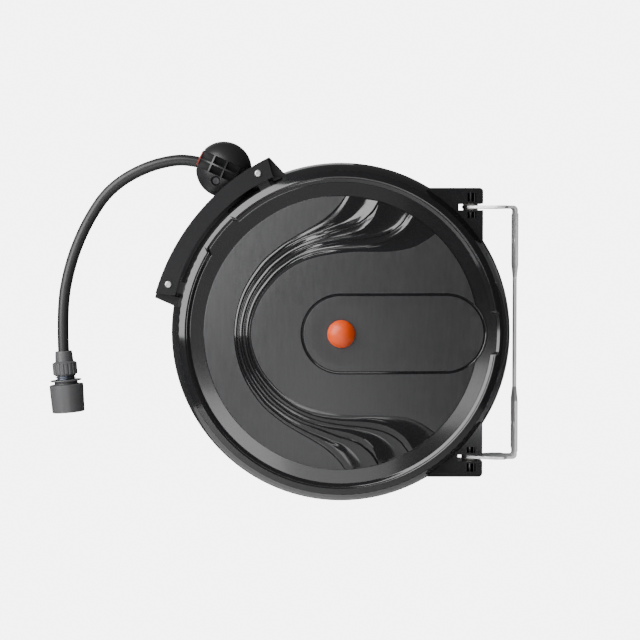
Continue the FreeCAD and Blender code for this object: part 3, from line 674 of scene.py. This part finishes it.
def rim_points(angle):
    """(radius, depth) rows from the panel's edge out to the rim's seam with the cover's side."""
    foot = panel_edge(angle) + 0.9
    inside = notch(angle)
    shift = NOTCH_SHIFT * inside
    points = [(foot - 0.6, FLAT_Y + 0.1), (foot - 0.3, FLAT_Y), (foot, FLAT_Y)]
    points += [(foot + (RING_R - foot) * t, FLAT_Y) for t in (0.35, 0.7)]
    for radius, depth in RIM_INNER + RIM_CROWN:
        if radius < CROWN_R:
            moved = radius + shift
            sunk = min(depth, crown_depth(moved))
            points.append((moved, FLAT_Y + (depth - FLAT_Y) * (1 - inside) + (sunk - FLAT_Y) * inside))
        else:
            moved = radius + shift * (SEAM_R - radius) / (SEAM_R - CROWN_R)
            points.append((moved, crown_depth(moved)))
    return points


def on_dome(x, z):
    return (x, -dome(math.hypot(x, z)), z)


def crescent(side, lip):
    """Rows of points from the panel's edge to the outer lip, above (side 1) or below (side -1)."""
    last = math.atan2(lip[-1][1], lip[-1][0])
    rows = []
    for share in CRESCENT_SHARES:
        row = []
        for k in range(ALONG + 1):
            turn = math.pi + (last - math.pi) * k / ALONG
            edge = (PANEL_EDGE_R * math.cos(turn), PANEL_EDGE_R * math.sin(turn))
            x, z = (edge[0] + (lip[k][0] - edge[0]) * share, edge[1] + (lip[k][1] - edge[1]) * share)
            row.append(on_dome(x, side * z))
        rows.append(row)
    return rows


def right_arc(inner):
    """The panel's edge on the right, from the lower to the upper end of the ridges' inner line."""
    last = math.atan2(inner[-1][1], inner[-1][0])
    arc = []
    for k in range(1, RIGHT_STEPS):
        turn = -last + 2 * last * k / RIGHT_STEPS
        reach = panel_edge(turn)
        arc.append(on_dome(reach * math.cos(turn), reach * math.sin(turn)))
    return arc


def middle_column(x, y, z):
    """Points from the cap's pocket over the oblong's border out to one place of the middle's border."""
    angle = math.atan2(z, x)
    reach = math.hypot(x, z)
    start = POCKET_R + POCKET_LIP
    first = oblong_reach(angle, OBLONG_ROWS[0][0])
    radii = [POCKET_R, start] + [start + (first - start) * t for t in SHARES_TO_OBLONG]
    heights = [BOSS_HEIGHT * float(ease(r, *BOSS_FADE)) for r in radii]
    for offset, height in OBLONG_ROWS:
        radii.append(oblong_reach(angle, offset))
        heights.append(height)
    ahead = max(reach, radii[-1])
    radii += [radii[-1] + (ahead - radii[-1]) * t for t in SHARES_PAST_OBLONG]
    heights += [0.0] * len(SHARES_PAST_OBLONG)
    # Points that would lie past the border crowd up just inside it.
    count = len(radii)
    radii = [min(r, reach - LEAST_STEP * (count - i)) for i, r in enumerate(radii)]
    column = [(r * math.cos(angle), -(dome(r) + h), r * math.sin(angle)) for r, h in zip(radii, heights)]
    return column + [(x, y, z)]


def rim_column(x, y, z):
    """Points from one place of the panel's edge out to the rim's seam."""
    angle = math.atan2(z, x)
    return [(x, y, z)] + [(r * math.cos(angle), -d, r * math.sin(angle)) for r, d in rim_points(angle)]


def front_skin():
    """The whole visible front: matt crescents, glossy ridges, matt middle with its oblong, ring and rim."""
    vertices, faces, matt = [], [], []

    def add_strip(rows, is_matt, flip, glossy=()):
        """Joins rows of equally many points into quads; the columns listed as glossy aren't matt."""
        base = len(vertices)
        wide = len(rows[0])
        for row in rows:
            vertices.extend(on_reel(*point) for point in row)
        for k in range(len(rows) - 1):
            for j in range(wide - 1):
                quad = (base + k * wide + j, base + k * wide + j + 1,
                        base + (k + 1) * wide + j + 1, base + (k + 1) * wide + j)
                faces.append(quad[::-1] if flip else quad)
                matt.append(1 if is_matt and j not in glossy else 0)

    ridges, crescents = {}, {}
    for side in (1, -1):
        ridges[side] = [[tuple(point) for point in row] for row in wave_patch(side)]
        crescents[side] = crescent(side, ridge_line("lip 1"))
        crescents[side][-1] = ridges[side][0]
        add_strip(ridges[side], False, side > 0)
        add_strip(crescents[side], True, side > 0)

    arc = right_arc(ridge_line("inner"))
    middle_border = ridges[1][-1][::-1] + ridges[-1][-1][1:] + arc
    columns = [middle_column(*place) for place in middle_border + middle_border[:1]]
    before_oblong = 2 + len(SHARES_TO_OBLONG)
    add_strip(columns, True, False, glossy=[before_oblong + row for row in OBLONG_GLOSSY])

    # The panel's edge, anticlockwise from the upper end of the ridges' inner line.
    edge = [row[-1] for row in reversed(ridges[1])] + crescents[1][0][-2::-1]
    edge += crescents[-1][0][1:] + [row[-1] for row in ridges[-1][1:]] + arc
    add_strip([rim_column(*place) for place in edge + edge[:1]], False, False)

    mesh = bpy.data.meshes.new("front_skin")
    mesh.from_pydata(vertices, [], faces)
    mesh.materials.append(GLOSS_BLACK)
    mesh.materials.append(PANEL_GREY)
    mesh.polygons.foreach_set("material_index", matt)
    return mesh_object("front_skin", mesh)


def open_front(shell):
    """Removes the plain front face of a cover copy, between the cap's pocket and the rim's side."""
    work = bmesh.new()
    work.from_mesh(shell.data)
    gone = []
    for face in work.faces:
        middle = face.calc_center_median()
        radius = math.hypot(middle.x - REEL_X, middle.z) / MM
        faces_front = middle.y < -OLD_FACE_Y * MM and face.normal.y < -0.05
        if faces_front and POCKET_R + 0.1 < radius < SEAM_R + 0.05:
            gone.append(face)
    bmesh.ops.delete(work, geom=gone, context="FACES")
    work.to_mesh(shell.data)
    work.free()


def join(pieces, name):
    deselect()
    for piece in pieces:
        piece.select_set(True)
    bpy.context.view_layer.objects.active = pieces[0]
    bpy.ops.object.join()
    pieces[0].name = name
    return pieces[0]


def bridge_rims(shell):
    """Closes the seams between the cover's sides and its new front, at the pocket and at the rim."""
    for radius in (POCKET_R, SEAM_R):
        only(shell)
        bpy.ops.object.mode_set(mode="EDIT")
        work = bmesh.from_edit_mesh(shell.data)
        for face in work.faces:
            face.select_set(False)
        for edge in work.edges:
            edge.select_set(False)
        work.select_mode = {"EDGE"}
        for edge in work.edges:
            if not edge.is_boundary:
                continue
            middle = (edge.verts[0].co + edge.verts[1].co) / 2.0
            away = math.hypot(middle.x - REEL_X, middle.z) / MM
            edge.select_set(abs(away - radius) < SEAM_REACH)
        bmesh.update_edit_mesh(shell.data)
        bpy.ops.mesh.bridge_edge_loops()
        bpy.ops.object.mode_set(mode="OBJECT")


def cut(piece, cutter):
    """Takes the cutter's shape out of a piece."""
    hollow = piece.modifiers.new("cut", "BOOLEAN")
    hollow.operation = "DIFFERENCE"
    hollow.solver = "EXACT"
    hollow.object = cutter
    apply_modifiers(piece)
    bpy.data.objects.remove(cutter)


def prism(outline, low, high):
    """A cutter: an outline of (x, z) places about the reel's axis, in millimetres, from y low to y high."""
    count = len(outline)
    vertices = [on_reel(x, low, z) for x, z in outline] + [on_reel(x, high, z) for x, z in outline]
    faces = [list(range(count)), list(range(2 * count - 1, count - 1, -1))]
    faces += [[(k + 1) % count, k, k + count, (k + 1) % count + count] for k in range(count)]
    mesh = bpy.data.meshes.new("cutter")
    mesh.from_pydata(vertices, [], faces)
    cutter = mesh_object("cutter", mesh)
    only(cutter)
    bpy.ops.object.mode_set(mode="EDIT")
    bpy.ops.mesh.select_all(action="SELECT")
    bpy.ops.mesh.normals_make_consistent(inside=False)
    bpy.ops.object.mode_set(mode="OBJECT")
    return cutter


def outlet_guide():
    """The guide's front plate stops at the case's side and short of the body at both ends."""
    piece = node_copy("outlet_guide", "guide_shell")
    turns = [math.radians(degrees) for degrees in range(*GUIDE_SIDE_DEGREES)]
    side = [(GUIDE_SIDE_R * math.cos(turn), GUIDE_SIDE_R * math.sin(turn)) for turn in turns]
    cut(piece, prism(side + [(0.0, 0.0)], TRIM_FRONT, TRIM_SIDE_BACK))
    cut(piece, prism(UPPER_END, TRIM_FRONT, TRIM_END_BACK))
    cut(piece, prism(LOWER_END, TRIM_FRONT, TRIM_END_BACK))
    soften(piece, width=0.0006)
    return stand_in(piece, "case", "guide_black", GUIDE_BLACK, "outlet_guide")


def softened_nodes():
    """Stand-ins for visible nodes with their edges rounded, by the node's name."""
    pieces = {}
    for node, (body, width) in SOFT_NODES.items():
        slot = next(row["material_slot"] for row in frame["record"]["subparts"] if row["node"] == node)
        piece = soften(node_copy(node, node + "_soft"), width)
        pieces[node] = stand_in(piece, body, slot, FINISH[slot], node)
    return pieces


def sleeve_spring():
    """A smoothed copy of the coil spring, carried by the release sleeve with a mesh of its own."""
    piece = node_copy("sleeve_spring", "spring_coil")
    smooth(piece, degrees=35)
    stand_in(piece, "release_sleeve", "spring_steel", SPRING_STEEL, "sleeve_spring")
    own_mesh(piece)
    return piece


def front_cover():
    """The cover's sides and back from the CAD, with the ridged front in place of its plain face."""
    shell = node_copy("front_cover", "front_shell")
    open_front(shell)
    skin = front_skin()
    shell.data.materials.append(GLOSS_BLACK)
    shell.data.materials.append(PANEL_GREY)
    only(skin)
    bpy.ops.object.mode_set(mode="EDIT")
    bpy.ops.mesh.select_all(action="SELECT")
    bpy.ops.mesh.remove_doubles(threshold=1e-5)
    bpy.ops.object.mode_set(mode="OBJECT")
    cover = join([shell, skin], "front_shell")
    bridge_rims(cover)
    smooth(cover, degrees=24)
    stand_in(cover, "case", "case_black", None, "front_cover")
    return cover


# ---- build ----
view_camera()
studio_world()
studio_lights()
studio_floor()
finish_cad_nodes()
hose = free_hose()
front_cover()
outlet_guide()
soft = softened_nodes()
soft["sleeve_spring"] = sleeve_spring()
